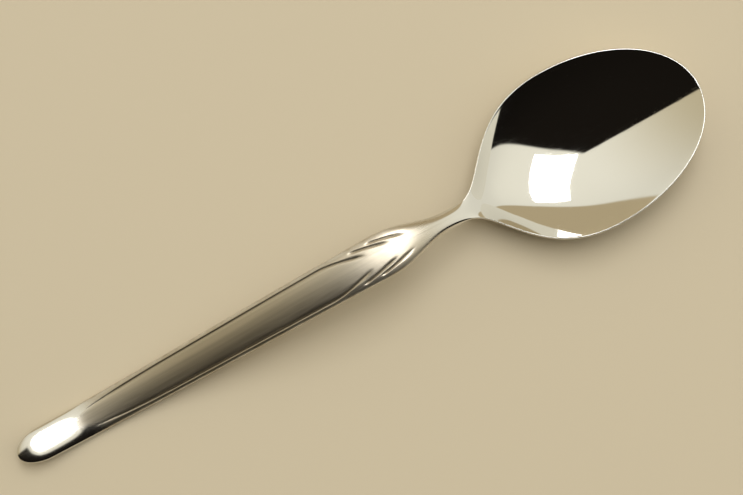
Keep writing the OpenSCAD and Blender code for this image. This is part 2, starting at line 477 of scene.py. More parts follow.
@dataclass
class Blank:
    """The whole struck blank: the surface that all the zones share.

    Attributes:
        terminal: the rounded end.
        handle: the panel with its borders.
        shoulder: the widest part of the handle.
        neck: the slim stem.
        bowl: the hollow and its rim.
        stem_top: share of the stem's half-width that lies inside its rounded edge.
        tip_top: least such share, where the bowl closes to its tip.
        search_step: step of the search for the points that touch the table.
        fork_length: how much later the satin starts beside the grooves than in the middle.
        end_satin: how satin the rounded end is.
        satin_starts: stations where the satin starts and where it is full.
        satin_stops: stations where the satin runs out and where it is gone.
    """

    terminal: Terminal = field(default_factory=Terminal)
    handle: Handle = field(default_factory=Handle)
    shoulder: Shoulder = field(default_factory=Shoulder)
    neck: Neck = field(default_factory=Neck)
    bowl: Bowl = field(default_factory=Bowl)
    stem_top: float = 0.92
    tip_top: float = 0.4
    search_step: float = 0.25
    fork_length: float = 5.0
    end_satin: float = 0.24
    satin_starts: tuple[float, float] = (10.0, 19.0)
    satin_stops: tuple[float, float] = (100.0, 122.0)

    def __post_init__(self) -> None:
        """Works out how high the handle and the bowl lie, so that both touch the table."""
        over_handle = np.arange(self.terminal.nose_round, self.shoulder.start, self.search_step)
        over_bowl = np.arange(self.bowl.settled, self.bowl.wide, self.search_step)
        self.handle_low: float = float(np.max(self.stem_thick(over_handle) / 2 - self.arch(over_handle)))
        self.bowl_low: float = float(np.max(self.bowl.drop(over_bowl) - self.bowl.rim_slope(over_bowl)))

    @property
    def zones(self) -> list[Zone]:
        """The zones in order along the spoon."""
        return [self.terminal, self.handle, self.shoulder, self.neck, self.bowl]

    # Seen from above

    def taper(self, s: np.ndarray) -> np.ndarray:
        """Returns the half-width that the handle's straight sides point at."""
        share = np.minimum(s / self.shoulder.crest, 1)
        return mix(self.terminal.width, self.shoulder.full_width, share) / 2

    def stem_half(self, s: np.ndarray) -> np.ndarray:
        """Returns the half-width of the handle, the shoulder and the neck."""
        waist = ease(s, self.shoulder.crest, self.neck.narrow)
        return mix(self.taper(s), self.neck.width / 2, waist) * self.terminal.nose(s)

    def half_width(self, s: np.ndarray) -> np.ndarray:
        """Returns the half-width of the outline."""
        rear = soft_max(self.stem_half(s), self.bowl.heel_half(s), self.neck.heel_fillet)
        return np.where(s < self.bowl.wide, rear, self.bowl.front_half(s))

    def hollow_half(self, s: np.ndarray) -> np.ndarray:
        """Returns the half-width of the hollow inside the rim."""
        rear = self.half_width(s) - self.bowl.rim_width
        return np.where(s < self.bowl.wide, rear, self.bowl.hollow_front(s))

    def top_half(self, s: np.ndarray) -> np.ndarray:
        """Works out the half-width of a section's top, inside its rounded edge.

        Args:
            s: stations along the spoon.

        Returns:
            Half-widths, in millimetres.
        """
        w = self.half_width(s)
        share = ease(s, self.neck.narrow, self.bowl.settled)
        return np.maximum(mix(self.stem_top * w, self.hollow_half(s), share), self.tip_top * w)

    # Seen from the side

    def stem_thick(self, s: np.ndarray) -> np.ndarray:
        """Works out the thickness of the handle, the shoulder and the neck.

        Args:
            s: stations along the spoon.

        Returns:
            Thicknesses, in millimetres.
        """
        share = np.minimum(s / self.shoulder.crest, 1)
        waist = ease(s, self.shoulder.crest, self.neck.narrow)
        return mix(mix(self.terminal.thick, self.shoulder.thick, share), self.neck.thick, waist)

    def stem_power(self, s: np.ndarray) -> np.ndarray:
        """Returns the exponent of the rounded section: flat on top at the end, oval in the neck."""
        handle = mix(self.terminal.power, self.handle.power, ease(s, 0, self.handle.flare_length))
        return mix(handle, self.neck.power, ease(s, self.shoulder.start, self.neck.narrow))

    def arch(self, s: np.ndarray) -> np.ndarray:
        """Works out the rise of the handle over the line on which it rests.

        Args:
            s: stations along the spoon.

        Returns:
            Heights, in millimetres.
        """
        rest, bend = self.handle.rest_from_end, self.handle.end_bend
        back = np.maximum(rest - s, 0)
        lift = math.tan(math.radians(self.handle.end_tilt)) * (back - bend * (1 - np.exp(-back / bend)))
        return self.handle.arch_rise * glide((s - rest) / (self.shoulder.crest - rest)) + lift

    def edge_height(self, s: np.ndarray) -> np.ndarray:
        """Returns the height of the outline over the table."""
        share = ease(s, self.shoulder.crest, self.bowl.settled)
        return mix(self.handle_low + self.arch(s), self.bowl_low + self.bowl.rim_slope(s), share)

    def bowl_share(self, s: np.ndarray) -> np.ndarray:
        """Returns how far the section has turned from a rounded stem into a hollow bowl."""
        return ease(s, self.neck.start, self.neck.start + self.neck.heel_run)

    # Grooves and leaf lines

    def line_at(self, s: np.ndarray, leaf: int) -> np.ndarray:
        """Works out how far from the middle a line runs.

        Args:
            s: stations along the spoon.
            leaf: number of the line, from 0 at the handle's groove.

        Returns:
            Distances of its deepest place, in millimetres.
        """
        begin = self.shoulder.leaf_start(leaf)
        outer = self.taper(np.minimum(s, begin)) - self.handle.border(s)
        return outer - self.shoulder.leaf_sweep * glide(self.shoulder.leaf_place(s, leaf))

    def line_depth(self, s: np.ndarray, leaf: int) -> np.ndarray:
        """Works out the depth of a line, which grows in at its start and fades at its end.

        Args:
            s: stations along the spoon.
            leaf: number of the line, from 0 at the handle's groove.

        Returns:
            Depths, in millimetres.
        """
        fade = self.shoulder.leaf_fade
        u = self.shoulder.leaf_place(s, leaf)
        grown = ease(u, fade[0], fade[1])
        if leaf == 0:
            grown = ease(s, self.handle.groove_from, self.handle.groove_full)
        return self.handle.groove_depth * grown * (1 - ease(u, fade[2], fade[3]))

    def relief(self, s: np.ndarray, y: np.ndarray) -> np.ndarray:
        """Works out how deep the lines cut into the top.

        Args:
            s: stations along the spoon.
            y: distances from the middle line, to the left.

        Returns:
            Depths, in millimetres.
        """
        cuts = []
        fade = self.shoulder.leaf_fade
        for leaf in range(self.shoulder.leaf_count):
            off = abs(y) - self.line_at(s, leaf)
            spread = ease(self.shoulder.leaf_place(s, leaf), fade[1], fade[3])
            outer = mix(self.handle.groove_outer, self.shoulder.leaf_outer, spread)
            wall = np.where(off > 0, outer, self.handle.groove_inner)
            cuts.append(self.line_depth(s, leaf) * np.maximum(1 - abs(off) / wall, 0) ** 2)
        return np.max(cuts, axis=0)

    # Heights of the skin

    def oval(self, s: np.ndarray, y: np.ndarray) -> np.ndarray:
        """Works out the half-thickness of the stem across its section.

        Args:
            s: stations along the spoon.
            y: distances from the middle line, to the left.

        Returns:
            Half-thicknesses, in millimetres.
        """
        p = self.stem_power(s)
        share = np.minimum(abs(y) / np.maximum(self.half_width(s), TINY), 1)
        return self.stem_thick(s) / 2 * self.terminal.cap(s) * (1 - share ** p) ** (1 / p)

    def rim_edge(self, s: np.ndarray, y: np.ndarray) -> np.ndarray:
        """Works out the half-thickness of the rim, which is rounded at its edge.

        Args:
            s: stations along the spoon.
            y: distances from the middle line, to the left.

        Returns:
            Half-thicknesses, in millimetres.
        """
        inner = np.where(s < self.bowl.wide, self.top_half(s), self.hollow_half(s))
        out = np.maximum(abs(y) - inner, 0) / np.maximum(self.half_width(s) - inner, TINY)
        return self.bowl.rim_radius * self.bowl.tip_cap(s) * round_off(np.minimum(out, 1))

    def hollow(self, s: np.ndarray, y: np.ndarray) -> np.ndarray:
        """Works out the depth of the hollow below the rim.

        Args:
            s: stations along the spoon.
            y: distances from the middle line, to the left.

        Returns:
            Depths, in millimetres.
        """
        inside = np.maximum(1 - (y / np.maximum(self.top_half(s), TINY)) ** 2, 0)
        share = self.bowl.floor_share(s, self.bowl.end - self.bowl.rim_width)
        return self.bowl.depth * self.bowl.full(share * inside)

    def belly(self, s: np.ndarray, y: np.ndarray) -> np.ndarray:
        """Works out the depth of the underside below the rim.

        Args:
            s: stations along the spoon.
            y: distances from the middle line, to the left.

        Returns:
            Depths, in millimetres.
        """
        inside = np.maximum(1 - (y / np.maximum(self.half_width(s), TINY)) ** 2, 0)
        share = self.bowl.floor_share(s, self.bowl.end)
        extra = self.bowl.wall_extra(s) * np.minimum(share / self.bowl.wall_full_at, 1)
        return self.bowl.depth * self.bowl.full(share * inside) + extra * inside

    def top(self, s: np.ndarray, y: np.ndarray) -> np.ndarray:
        """Returns the height of the upper skin."""
        rim = self.rim_edge(s, y) - self.hollow(s, y)
        return self.edge_height(s) + mix(self.oval(s, y), rim, self.bowl_share(s)) - self.relief(s, y)

    def under(self, s: np.ndarray, y: np.ndarray) -> np.ndarray:
        """Returns the height of the lower skin."""
        rim = self.rim_edge(s, y) + self.belly(s, y)
        return self.edge_height(s) - mix(self.oval(s, y), rim, self.bowl_share(s))

    # Where each finish lies

    def satin(self, s: np.ndarray, y: np.ndarray) -> np.ndarray:
        """Works out where the satin lies: along the handle, running out at the terminal and the neck.

        Args:
            s: stations along the spoon.
            y: distances from the middle line, to the left.

        Returns:
            Shares from 0 on polished metal to 1 on satin metal.
        """
        edge = np.maximum(self.line_at(s, 0), TINY)
        fork = self.fork_length * np.minimum(abs(y) / edge, 1) ** 2
        begun = ease(s - fork, *self.satin_starts)
        return mix(self.end_satin, 1, begun) * (1 - ease(s, *self.satin_stops))


# The skin as meshes


@dataclass
class Skin:
    """Dense skin of the blank, cut into pieces whose shading runs on across the planes between them.

    Attributes:
        blank: the surface.
        top_steps: columns across the top.
        under_steps: columns across the underside.
        edge_from: share of a half section at which its rounded edge starts.
        edge_steps: columns over a quarter of the rounded edge.
        nudge_along: step along the spoon over which a normal is measured, in millimetres.
        nudge_across: step round the section over which it is measured, in places.
        crest_range: shares of the half-width between which the edge becomes a rubbed one.
    """

    blank: Blank
    top_steps: int = 116
    under_steps: int = 44
    edge_from: float = 0.9
    edge_steps: int = 7
    nudge_along: float = 0.004
    nudge_across: float = 0.0004
    crest_range: tuple[float, float] = (0.8, 1.0)

    def around(self) -> np.ndarray:
        """Works out the columns as places round a section.

        Returns:
            Places from 0 to 2 over the top, from right to left, and from 2 to 4 back underneath.
        """
        inner = self.edge_from
        edge = np.linspace(inner, 1, self.edge_steps + 1)
        over = np.linspace(-inner, inner, self.top_steps + 1)
        below = np.linspace(-inner, inner, self.under_steps + 1)
        top = np.concatenate([-edge[:0:-1], over, edge[1:]])
        under = np.concatenate([edge[-2:0:-1], below[::-1], -edge[1:-1]])
        return np.concatenate([1 + top, 3 - under])

    def points(self, s: np.ndarray, place: np.ndarray) -> np.ndarray:
        """Works out points of the skin.

        Args:
            s: stations, one per row.
            place: places round each section.

        Returns:
            An array of rows by places by three, in millimetres, in the spoon's own frame.
        """
        turn = np.mod(place, 4)[None, :]
        rows = s[:, None] + np.zeros_like(turn)
        share = np.where(turn <= 2, turn - 1, 3 - turn)
        bend = np.clip((abs(share) - self.edge_from) / (1 - self.edge_from), 0, 1) * math.pi / 2
        inner = self.blank.top_half(rows)
        flat = inner * np.minimum(abs(share) / self.edge_from, 1)
        reach = flat + (self.blank.half_width(rows) - inner) * np.sin(bend)
        y = np.sign(share) * reach
        z = np.where(turn <= 2, self.blank.top(rows, y), self.blank.under(rows, y))
        return np.stack([rows + CAD_BOX[0].x / MM, y, z], axis=-1)

    def normals(self, s: np.ndarray, place: np.ndarray) -> np.ndarray:
        """Works out the outward normals of the skin.

        Args:
            s: stations, one per row.
            place: places round each section.

        Returns:
            Unit vectors, as an array of rows by places by three.
        """
        low, high = self.blank.terminal.start, self.blank.bowl.end
        ahead = self.points(np.minimum(s + self.nudge_along, high), place)
        behind = self.points(np.maximum(s - self.nudge_along, low), place)
        left = self.points(s, place + self.nudge_across)
        right = self.points(s, place - self.nudge_across)
        normal = np.cross(ahead - behind, left - right)
        length = np.linalg.norm(normal, axis=-1, keepdims=True)
        return normal / np.maximum(length, TINY)

    def piece(self, name: str, stations: np.ndarray) -> bpy.types.Object:
        """Makes one closed piece of the skin.

        Args:
            name: the mesh's name; the object's own name adds _skin.
            stations: rows of the piece; a row at an end of the spoon closes to a point.

        Returns:
            A new object in the scene, with the finish masks on its points.
        """
        place = self.around()
        grid = self.points(stations, place)
        normal = self.normals(stations, place)
        first_pole = stations[0] <= self.blank.terminal.start + POLE_REACH
        last_pole = stations[-1] >= self.blank.bowl.end - POLE_REACH
        rows, columns = grid.shape[:2]
        ring = [list(range(i * columns, (i + 1) * columns)) for i in range(rows)]
        if first_pole:
            ring[0] = [0] * columns
            normal[0, :] = (-1, 0, 0)
        if last_pole:
            ring[-1] = [(rows - 1) * columns] * columns
            normal[-1, :] = (1, 0, 0)
        faces, face_normals = [], []
        for i in range(rows - 1):
            for j in range(columns):
                k = (j + 1) % columns
                corners = [ring[i][j], ring[i + 1][j], ring[i + 1][k], ring[i][k]]
                faces.append(list(dict.fromkeys(corners)))
                face_normals.append(None)
        if not first_pole:
            faces.append(ring[0])
            face_normals.append((-1.0, 0.0, 0.0))
        if not last_pole:
            faces.append(ring[-1][::-1])
            face_normals.append((1.0, 0.0, 0.0))
        return self.mesh_object(name, grid, normal, faces, face_normals)

    def mesh_object(self, name: str, grid: np.ndarray, normal: np.ndarray, faces: list[list[int]],
                    face_normals: list[tuple[float, float, float] | None]) -> bpy.types.Object:
        """Turns rows of points into an object.

        Args:
            name: the mesh's name; the object's own name adds _skin.
            grid: points, in millimetres.
            normal: normals of the skin at the points.
            faces: corners of each face.
            face_normals: the normal of a flat face, or None for the skin.

        Returns:
            The object, with unused points taken out.
        """
        used = sorted({v for f in faces for v in f})
        place = {v: i for i, v in enumerate(used)}
        points = grid.reshape(-1, 3)[used]
        skin_normal = normal.reshape(-1, 3)[used]
        faces = [[place[v] for v in f] for f in faces]
        mesh = bpy.data.meshes.new(name)
        mesh.from_pydata((points * MM).tolist(), [], faces)
        mesh.shade_smooth()
        loops = [skin_normal[v] if flat is None else flat for f, flat in zip(faces, face_normals) for v in f]
        mesh.normals_split_custom_set([tuple(n) for n in loops])
        s = points[:, 0] - CAD_BOX[0].x / MM
        on_top = skin_normal[:, 2] > 0
        self.store(mesh, Mask.SATIN, self.blank.satin(s, points[:, 1]))
        groove = self.blank.relief(s, points[:, 1]) / self.blank.handle.groove_depth
        self.store(mesh, Mask.GROOVE, np.where(on_top, groove, 0))
        crest = abs(points[:, 1]) / np.maximum(self.blank.half_width(s), POLE_REACH)
        self.store(mesh, Mask.CREST, ease(crest, *self.crest_range))
        piece = bpy.data.objects.new(name + "_skin", mesh)
        bpy.context.scene.collection.objects.link(piece)
        return piece

    @staticmethod
    def store(mesh: bpy.types.Mesh, mask: Mask, values: np.ndarray) -> None:
        """Stores one value per point on a mesh."""
        attribute = mesh.attributes.new(mask.value, "FLOAT", "POINT")
        attribute.data.foreach_set("value", np.asarray(values, dtype=np.float32))


# Finishes


class Graph:
    """A node tree with short calls for adding and linking nodes."""

    # Numbers of a Mix node's sockets for colours, because its socket names repeat
    MIX_SHARE = 0
    MIX_FIRST = 6
    MIX_SECOND = 7
    MIX_RESULT = 2

    def __init__(self, tree: bpy.types.NodeTree) -> None:
        """Starts on an emptied tree."""
        self.tree = tree
        tree.nodes.clear()

    def add(self, kind: str, **settings: object) -> bpy.types.Node:
        """Adds a node and sets its properties.

        Args:
            kind: the node's type name, without its ShaderNode prefix where it has one.
            settings: properties of the node.

        Returns:
            The new node.
        """
        known = kind if kind.startswith("Node") else "ShaderNode" + kind
        node = self.tree.nodes.new(known)
        for name, value in settings.items():
            setattr(node, name, value)
        return node

    def link(self, source: bpy.types.NodeSocket, target: bpy.types.NodeSocket) -> None:
        """Links an output to an input."""
        self.tree.links.new(source, target)

    def feed(self, node: bpy.types.Node, **values: object) -> bpy.types.Node:
        """Sets or links inputs by name.

        Args:
            node: the node to feed.
            values: a value or a socket for each input; an underscore stands for a space.

        Returns:
            The same node.
        """
        for name, value in values.items():
            self.put(node.inputs[name.replace("_", " ")], value)
        return node

    def put(self, socket: bpy.types.NodeSocket, value: object) -> None:
        """Links a socket to another, or sets its value.

        Args:
            socket: the input.
            value: a socket to link to it, or a value to set.
        """
        if isinstance(value, bpy.types.NodeSocket):
            self.link(value, socket)
        else:
            socket.default_value = value

    def math(self, operation: str, first: object, second: object = 0.0) -> bpy.types.NodeSocket:
        """Adds a Math node.

        Args:
            operation: the node's operation.
            first: its first value or socket.
            second: its second value or socket.

        Returns:
            The result's socket.
        """
        node = self.add("Math", operation=operation)
        self.put(node.inputs[0], first)
        self.put(node.inputs[1], second)
        return node.outputs[0]

    def ramp(self, value: object, low: float, high: float, start: float = 0.0,
             end: float = 1.0) -> bpy.types.NodeSocket:
        """Adds a smooth map of a value from one range onto another.

        Args:
            value: the value or socket to map.
            low: where the map starts.
            high: where it ends.
            start: result at low.
            end: result at high.

        Returns:
            The result's socket.
        """
        node = self.add("MapRange", interpolation_type="SMOOTHSTEP")
        self.feed(node, Value=value, From_Min=low, From_Max=high, To_Min=start, To_Max=end)
        return node.outputs[0]

    def blend(self, share: object, first: object, second: object) -> bpy.types.NodeSocket:
        """Adds a mix of two colours.

        Args:
            share: share of the second colour.
            first: colour or socket.
            second: colour or socket.

        Returns:
            The result's socket.
        """
        node = self.add("Mix", data_type="RGBA")
        self.put(node.inputs[self.MIX_SHARE], share)
        self.put(node.inputs[self.MIX_FIRST], first)
        self.put(node.inputs[self.MIX_SECOND], second)
        return node.outputs[self.MIX_RESULT]

    def scale(self, colour: bpy.types.NodeSocket, share: bpy.types.NodeSocket) -> bpy.types.NodeSocket:
        """Adds a colour times a share.

        Args:
            colour: the colour.
            share: its new brightness, as a share.

        Returns:
            The result's socket.
        """
        node = self.add("VectorMath", operation="SCALE")
        self.link(colour, node.inputs[0])
        self.link(share, node.inputs["Scale"])
        return node.outputs[0]

    def noise(self, place: bpy.types.NodeSocket, **settings: object) -> bpy.types.NodeSocket:
        """Returns noise over a place, with the settings of its sockets by name."""
        return self.feed(self.add("TexNoise"), Vector=place, **settings).outputs["Fac"]

    def place(self) -> bpy.types.NodeSocket:
        """Returns the place on the piece, in metres."""
        return self.add("TexCoord").outputs["Object"]

    def show(self, shader: bpy.types.Node, output: str = "OutputMaterial") -> None:
        """Links a shader to a new output node of the tree."""
        self.link(shader.outputs[0], self.add(output).inputs["Surface"])

    def mask(self, mask: Mask) -> bpy.types.NodeSocket:
        """Returns a value stored on the skin's points."""
        return self.add("Attribute", attribute_name=mask.value, attribute_type="GEOMETRY").outputs["Fac"]


def new_material(name: str) -> tuple[bpy.types.Material, Graph]:
    """Makes a material without nodes.

    Args:
        name: name of the material.

    Returns:
        The material, and its node tree to add nodes to.
    """
    material = bpy.data.materials.new(name)
    material.use_nodes = True
    return material, Graph(material.node_tree)


class EffectGroup:
    """A shader node group with named inputs, which puts out masks and values over the surface.

    Attributes:
        name: name of the group.
        inputs: names of its inputs, with the value that each has by itself.
        outputs: names of its outputs.
    """

    name = "effect"
    inputs: dict[str, float] = {}
    outputs: tuple[str, ...] = ()

    def __init__(self) -> None:
        """Makes the group once."""
        self.tree = bpy.data.node_groups.new(self.name, "ShaderNodeTree")
        for name, default in self.inputs.items():
            socket = self.tree.interface.new_socket(name, in_out="INPUT", socket_type="NodeSocketFloat")
            socket.default_value = default
        for name in self.outputs:
            self.tree.interface.new_socket(name, in_out="OUTPUT", socket_type="NodeSocketFloat")
        graph = Graph(self.tree)
        self.draw(graph, graph.add("NodeGroupInput"), graph.add("NodeGroupOutput"))

    def draw(self, graph: Graph, given: bpy.types.Node, out: bpy.types.Node) -> None:
        """Draws the nodes between the group's inputs and outputs.

        Args:
            graph: the group's nodes.
            given: the node that holds the group's inputs.
            out: the node that takes its outputs.
        """
        raise NotImplementedError

    def place(self, graph: Graph, **values: object) -> bpy.types.Node:
        """Places the group in a material with its own values."""
        node = graph.add("Group", node_tree=self.tree)
        return graph.feed(node, **values)


class LengthwiseGrain(EffectGroup):
    """Fine lines left by a belt that ran along the spoon.

    Attributes:
        coarse_scale: fineness of the streaks, as a share of the fineness of the lines.
    """

    name = "lengthwise_grain"
    inputs = {"Lines per mm": 6.0, "Line length mm": 8.0}
    outputs = ("Grain", "Streaks")
    coarse_scale = 0.23

    def draw(self, graph: Graph, given: bpy.types.Node, out: bpy.types.Node) -> None:
        """Draws noise that is stretched along the spoon, in a fine and a coarse size.

        Args:
            graph: the group's nodes.
            given: the node that holds the group's inputs.
            out: the node that takes its outputs.
        """
        across = graph.math("MULTIPLY", given.outputs["Lines per mm"], 1 / MM)
        along = graph.math("DIVIDE", 1 / MM, given.outputs["Line length mm"])
        stretch = graph.add("CombineXYZ")
        graph.feed(stretch, X=along, Y=across, Z=along)
        scaled = graph.add("VectorMath", operation="MULTIPLY")
        graph.link(graph.place(), scaled.inputs[0])
        graph.link(stretch.outputs[0], scaled.inputs[1])
        fine = graph.noise(scaled.outputs[0], Scale=1.0, Detail=3.0, Roughness=0.6)
        coarse = graph.noise(scaled.outputs[0], Scale=self.coarse_scale, Detail=2.0, Roughness=0.5)
        graph.link(fine, out.inputs["Grain"])
        graph.link(coarse, out.inputs["Streaks"])


class HairlineMarks(EffectGroup):
    """Thin scratches of use, in several directions.

    Attributes:
        directions: turn of each set of scratches, in radians.
        stretch: fineness of the noise along a scratch, across it and in height.
        line_range: range of the noise over which a scratch comes out.
    """

    name = "hairline_marks"
    inputs = {"Amount": 0.5}
    outputs = ("Marks",)
    directions = (0.35, 1.25, 2.2, 2.9)
    stretch = (90.0, 5200.0, 900.0)
    line_range = (0.69, 0.76)

    def draw(self, graph: Graph, given: bpy.types.Node, out: bpy.types.Node) -> None:
        """Draws a few sets of stretched noise, each cut off so that only thin lines stay.

        Args:
            graph: the group's nodes.
            given: the node that holds the group's inputs.
            out: the node that takes its outputs.
        """
        place = graph.place()
        total: object = 0.0
        for turn in self.directions:
            moved = graph.add("Mapping", vector_type="POINT")
            graph.feed(moved, Vector=place, Rotation=(0.0, 0.0, turn), Scale=self.stretch)
            noise = graph.noise(moved.outputs[0], Scale=1.0, Detail=1.0)
            total = graph.math("MAXIMUM", graph.ramp(noise, *self.line_range), total)
        graph.link(graph.math("MULTIPLY", total, given.outputs["Amount"]), out.inputs["Marks"])


class PolishRipple(EffectGroup):
    """Slow waves that hand polishing leaves in a mirror."""

    name = "polish_ripple"
    inputs = {"Wave mm": 9.0}
    outputs = ("Height",)

    def draw(self, graph: Graph, given: bpy.types.Node, out: bpy.types.Node) -> None:
        """Draws one soft noise.

        Args:
            graph: the group's nodes.
            given: the node that holds the group's inputs.
            out: the node that takes its outputs.
        """
        waves = graph.math("DIVIDE", 1 / MM, given.outputs["Wave mm"])
        graph.link(graph.noise(graph.place(), Scale=waves, Detail=1.0), out.inputs["Height"])


class EdgeWear(EffectGroup):
    """Brighter metal where edges are rubbed, broken up by noise.

    Attributes:
        patch_scale: size of the rubbed patches, as noise waves per metre.
        patch_range: range of the noise over which a patch comes out.
    """

    name = "edge_wear"
    inputs = {"Edge": 0.0, "Amount": 0.6}
    outputs = ("Wear",)
    patch_scale = 240.0
    patch_range = (0.3, 0.65)

    def draw(self, graph: Graph, given: bpy.types.Node, out: bpy.types.Node) -> None:
        """Draws the edge mask times a patchy noise.

        Args:
            graph: the group's nodes.
            given: the node that holds the group's inputs.
            out: the node that takes its outputs.
        """
        noise = graph.noise(graph.place(), Scale=self.patch_scale, Detail=4.0, Roughness=0.6)
        patchy = graph.math("MULTIPLY", given.outputs["Edge"], graph.ramp(noise, *self.patch_range))
        graph.link(graph.math("MULTIPLY", patchy, given.outputs["Amount"]), out.inputs["Wear"])


@dataclass(frozen=True)
class Effects:
    """The shared effects, made once.

    Attributes:
        grain: the satin's lines.
        marks: the scratches of use.
        ripple: the polish's slow waves.
        wear: the rubbed edges.
    """

    grain: LengthwiseGrain = field(default_factory=LengthwiseGrain)
    marks: HairlineMarks = field(default_factory=HairlineMarks)
    ripple: PolishRipple = field(default_factory=PolishRipple)
    wear: EdgeWear = field(default_factory=EdgeWear)


@dataclass(frozen=True)
class SteelFinish:
    """Stainless steel that is mirror polished, or satin where the skin's satin mask says so.

    Attributes:
        name: name of the material.
        effects: the shared effects.
        polished: colour of the polished metal.
        satin: colour of the satin metal, its warm tint partly a painted reflection of brown surroundings.
        groove_shade: colour of the painted shade in the bottom of the grooves.
        mirror_rough: roughness of the polish.
        satin_rough: roughness of the satin.
        marks: strength of the scratches of use.
        ripple_mm: height of the polish's slow waves.
        grain_mm: height of the satin's lines.
        spread: how much wider reflections are across the lines than along them.
        lines_per_mm: satin lines across the spoon, per millimetre.
        line_mm: length of a satin line.
        wave_mm: length of the polish's slow waves.
        wear: strength of the rubbing on edges.
        worn_gain: how much brighter rubbed metal is.
        noise_range: range of a noise over which streaks and lines come out.
        streak_tone: brightness of the darkest streaks in the satin.
        groove_range: shares of a groove's depth between which the painted shade comes in.
        groove_shade_share: how strongly the painted shade darkens the bottom of a groove.
        smudge_scale: size of the smudges, as noise waves per metre.
        smudge_range: range of the noise over which a smudge comes out.
        smudge_rough: roughness that a smudge adds.
        line_rough: roughness by which the satin varies from line to line.
        mark_rough: roughness that a scratch adds.
        mark_mm: depth of a scratch.
    """

    name: str
    effects: Effects
    polished: tuple[float, float, float] = (0.80, 0.785, 0.75)
    # The satin's warm tint is partly a painted reflection of brown surroundings.
    satin: tuple[float, float, float] = (0.57, 0.505, 0.40)
    # Painted shade: the colour that darkens the bottom of the grooves.
    groove_shade: tuple[float, float, float] = (0.20, 0.175, 0.14)
    mirror_rough: float = 0.035
    satin_rough: float = 0.36
    marks: float = 0.5
    ripple_mm: float = 0.006
    grain_mm: float = 0.0015
    spread: float = 0.5
    lines_per_mm: float = 7.0
    line_mm: float = 9.0
    wave_mm: float = 11.0
    wear: float = 0.6
    worn_gain: float = 1.08
    noise_range: tuple[float, float] = (0.3, 0.7)
    streak_tone: float = 0.88
    groove_range: tuple[float, float] = (0.35, 1.0)
    groove_shade_share: float = 0.45
    smudge_scale: float = 70.0
    smudge_range: tuple[float, float] = (0.4, 0.75)
    smudge_rough: float = 0.03
    line_rough: float = 0.05
    mark_rough: float = 0.12
    mark_mm: float = 0.0006

    def material(self) -> bpy.types.Material:
        """Makes the finish's material.

        Returns:
            The new material.
        """
        material, graph = new_material(self.name)
        satin = graph.mask(Mask.SATIN)
        groove = graph.mask(Mask.GROOVE)
        grain = self.effects.grain.place(graph, Lines_per_mm=self.lines_per_mm, Line_length_mm=self.line_mm)
        marks = self.effects.marks.place(graph, Amount=self.marks).outputs["Marks"]
        ripple = self.effects.ripple.place(graph, Wave_mm=self.wave_mm).outputs["Height"]
        crest = graph.mask(Mask.CREST)
        wear = self.effects.wear.place(graph, Edge=crest, Amount=self.wear).outputs["Wear"]

        shader = graph.add("BsdfPrincipled")
        shader.inputs["Metallic"].default_value = 1.0
        shader.inputs["Anisotropic"].default_value = self.spread
        across = graph.add("CombineXYZ")
        graph.feed(across, X=0.0, Y=1.0, Z=0.0)
        graph.link(across.outputs[0], shader.inputs["Tangent"])
        graph.link(self.colour(graph, satin, groove, grain, wear), shader.inputs["Base Color"])
        graph.link(self.roughness(graph, satin, grain, marks), shader.inputs["Roughness"])
        graph.link(self.normal(graph, satin, grain, marks, ripple), shader.inputs["Normal"])
        graph.show(shader)
        return material

    def colour(self, graph: Graph, satin: bpy.types.NodeSocket, groove: bpy.types.NodeSocket,
               grain: bpy.types.Node, wear: bpy.types.NodeSocket) -> bpy.types.NodeSocket:
        """Draws the colour: polished or satin metal, darkened in the grooves by painted shade, and paler on
        worn edges.

        Args:
            graph: the material's nodes.
            satin: mask of the satin.
            groove: mask of the grooves.
            grain: the satin's lines and streaks.
            wear: mask of the rubbed edges.

        Returns:
            The colour's socket.
        """
        streak = graph.ramp(grain.outputs["Streaks"], *self.noise_range, self.streak_tone, 1.0)
        tone = graph.blend(satin, (*self.polished, 1), (*self.satin, 1))
        lines = graph.math("ADD", graph.math("MULTIPLY", satin, graph.math("SUBTRACT", streak, 1.0)), 1.0)
        # Painted shade darkens the bottom of each groove and leaf line.
        groove_shaded = graph.math("MULTIPLY", graph.ramp(groove, *self.groove_range), self.groove_shade_share)
        dark = graph.blend(groove_shaded, graph.scale(tone, lines), (*self.groove_shade, 1))
        pale = tuple(min(1.0, c * self.worn_gain) for c in self.polished)
        return graph.blend(wear, dark, (*pale, 1))

    def roughness(self, graph: Graph, satin: bpy.types.NodeSocket, grain: bpy.types.Node,
                  marks: bpy.types.NodeSocket) -> bpy.types.NodeSocket:
        """Draws the roughness: low on the polish, higher on satin, scratches and smudges.

        Args:
            graph: the material's nodes.
            satin: mask of the satin.
            grain: the satin's lines and streaks.
            marks: mask of the scratches.

        Returns:
            The roughness's socket.
        """
        smudge = graph.noise(graph.place(), Scale=self.smudge_scale, Detail=4.0, Roughness=0.6)
        film = graph.ramp(smudge, *self.smudge_range, 0.0, self.smudge_rough)
        lines = graph.ramp(grain.outputs["Grain"], *self.noise_range, -self.line_rough, self.line_rough)
        brushed = graph.math("ADD", lines, self.satin_rough)
        polish = graph.math("ADD", graph.math("MULTIPLY", marks, self.mark_rough),
                            graph.math("ADD", film, self.mirror_rough))
        step = graph.math("MULTIPLY", graph.math("SUBTRACT", brushed, polish), satin)
        return graph.math("ADD", polish, step)

